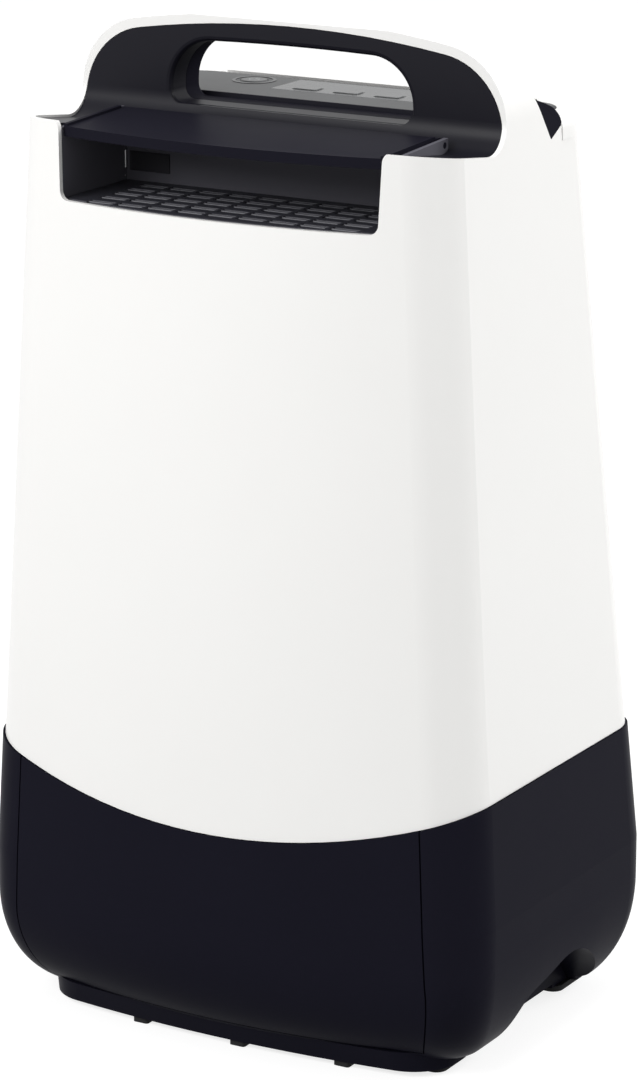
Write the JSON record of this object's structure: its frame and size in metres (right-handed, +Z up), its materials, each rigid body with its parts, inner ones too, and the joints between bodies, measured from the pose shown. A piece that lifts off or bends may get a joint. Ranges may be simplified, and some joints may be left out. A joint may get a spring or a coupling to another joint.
{
  "type": "dehumidifier",
  "caption": "Portable dehumidifier with a loop handle, a louvered outlet on top, a slide-out water tank in a black base and a hinged filter cover on its back.",
  "frame": {"origin": "on the floor, under the middle of the overall width and depth", "axes": "+Z up; -Y the front, where the outlet and the tank are; +X to the right as seen from the front"},
  "size_m": [0.292, 0.237, 0.522],
  "materials": {
    "white_shell": "satin",
    "black_shell": "satin",
    "grey_deck": "satin",
    "window_grey": "gloss",
    "key_grey": "matte",
    "pad_rubber": "matte",
    "tank_clear": "gloss",
    "float_white": "matte",
    "frame_grey": "matte",
    "condenser_clear": "satin",
    "rotor_zeolite": "matte",
    "gear_white": "satin",
    "fan_black": "satin",
    "bright_steel": "brushed",
    "heater_steel": "satin",
    "board_green": "satin",
    "filter_mesh": "matte"
  },
  "bodies": {
    "case": {"base": "black_shell", "bay_roof": "frame_grey", "condenser": "condenser_clear", "control_board": "board_green", "control_deck": "grey_deck", "cord_inlet": "pad_rubber", "cover_screws": "bright_steel", "display_window": "window_grey", "drain_tray": "frame_grey", "fan_motor": "bright_steel", "fan_scroll": "frame_grey", "float_switch": "fan_black", "front_cover": "white_shell", "front_feet": "pad_rubber", "handle_front": "black_shell", "handle_rear": "black_shell", "heater_box": "heater_steel", "heater_element": "heater_steel", "humidity_sensor": "board_green", "outlet_duct": "black_shell", "outlet_grille": "black_shell", "power_board": "board_green", "rear_cover": "white_shell", "rear_feet": "pad_rubber", "regen_fan_case": "frame_grey", "regen_motor": "bright_steel", "rotor_axle": "bright_steel", "rotor_case": "frame_grey", "rotor_motor": "bright_steel", "rotor_retainer": "frame_grey"},
    "louver": {"louver": "black_shell"},
    "tank": {"tank": "tank_clear", "tank_front": "black_shell", "tank_lid": "tank_clear"},
    "float": {"float": "float_white"},
    "filter_cover": {"intake_grille": "white_shell", "air_filter": "filter_mesh"},
    "power_button": {"power_button": "key_grey"},
    "rotor": {"desiccant_rotor": "rotor_zeolite", "rotor_gear": "gear_white", "rotor_hub": "gear_white"},
    "pinion": {"drive_pinion": "gear_white"},
    "main_fan": {"main_fan": "fan_black", "fan_shaft": "bright_steel"},
    "regen_fan": {"regen_fan": "fan_black"},
    "key_1": {"key_1": "key_grey"},
    "key_2": {"key_2": "key_grey"},
    "key_3": {"key_3": "key_grey"},
    "key_4": {"key_4": "key_grey"}
  },
  "joints": [
    {"name": "louver_hinge", "type": "hinge", "parent": "case", "child": "louver", "pos_m": [0, -0.041, 0.4678], "axis": [-1, 0, 0], "range_deg": [-26, 55]},
    {"name": "tank_slide", "type": "slide", "parent": "case", "child": "tank", "axis": [0, -1, 0], "range_m": [0, 0.17]},
    {"name": "float_hinge", "type": "hinge", "parent": "tank", "child": "float", "pos_m": [0.077, 0.016, 0.076], "axis": [-1, 0, 0], "range_deg": [0, 25]},
    {"name": "filter_cover_hinge", "type": "hinge", "parent": "case", "child": "filter_cover", "pos_m": [0, 0.09815, 0.1705], "axis": [-1, 0, 0], "range_deg": [0, 30]},
    {"name": "power_press", "type": "slide", "parent": "case", "child": "power_button", "axis": [0, 0, -1], "range_m": [0, 0.0008], "stiffness_N_per_m": 800, "springref_m": -0.0005},
    {"name": "rotor_turn", "type": "hinge", "parent": "case", "child": "rotor", "pos_m": [0, 0.027, 0.262], "axis": [0, 1, 0], "continuous": true},
    {"name": "pinion_turn", "type": "hinge", "parent": "case", "child": "pinion", "pos_m": [0.08472, 0.031, 0.18572], "axis": [0, 1, 0], "continuous": true},
    {"name": "main_fan_turn", "type": "hinge", "parent": "case", "child": "main_fan", "pos_m": [0, -0.062, 0.246], "axis": [0, 1, 0], "continuous": true},
    {"name": "regen_fan_turn", "type": "hinge", "parent": "case", "child": "regen_fan", "pos_m": [0.074, -0.004, 0.374], "axis": [0, 1, 0], "continuous": true},
    {"name": "key_1_press", "type": "slide", "parent": "case", "child": "key_1", "axis": [0, 0, -1], "range_m": [0, 0.0008], "stiffness_N_per_m": 800, "springref_m": -0.0005},
    {"name": "key_2_press", "type": "slide", "parent": "case", "child": "key_2", "axis": [0, 0, -1], "range_m": [0, 0.0008], "stiffness_N_per_m": 800, "springref_m": -0.0005},
    {"name": "key_3_press", "type": "slide", "parent": "case", "child": "key_3", "axis": [0, 0, -1], "range_m": [0, 0.0008], "stiffness_N_per_m": 800, "springref_m": -0.0005},
    {"name": "key_4_press", "type": "slide", "parent": "case", "child": "key_4", "axis": [0, 0, -1], "range_m": [0, 0.0008], "stiffness_N_per_m": 800, "springref_m": -0.0005}
  ],
  "couplings": [
    {"joint": "pinion_turn", "follows": "rotor_turn", "ratio": -7.1429}
  ]
}
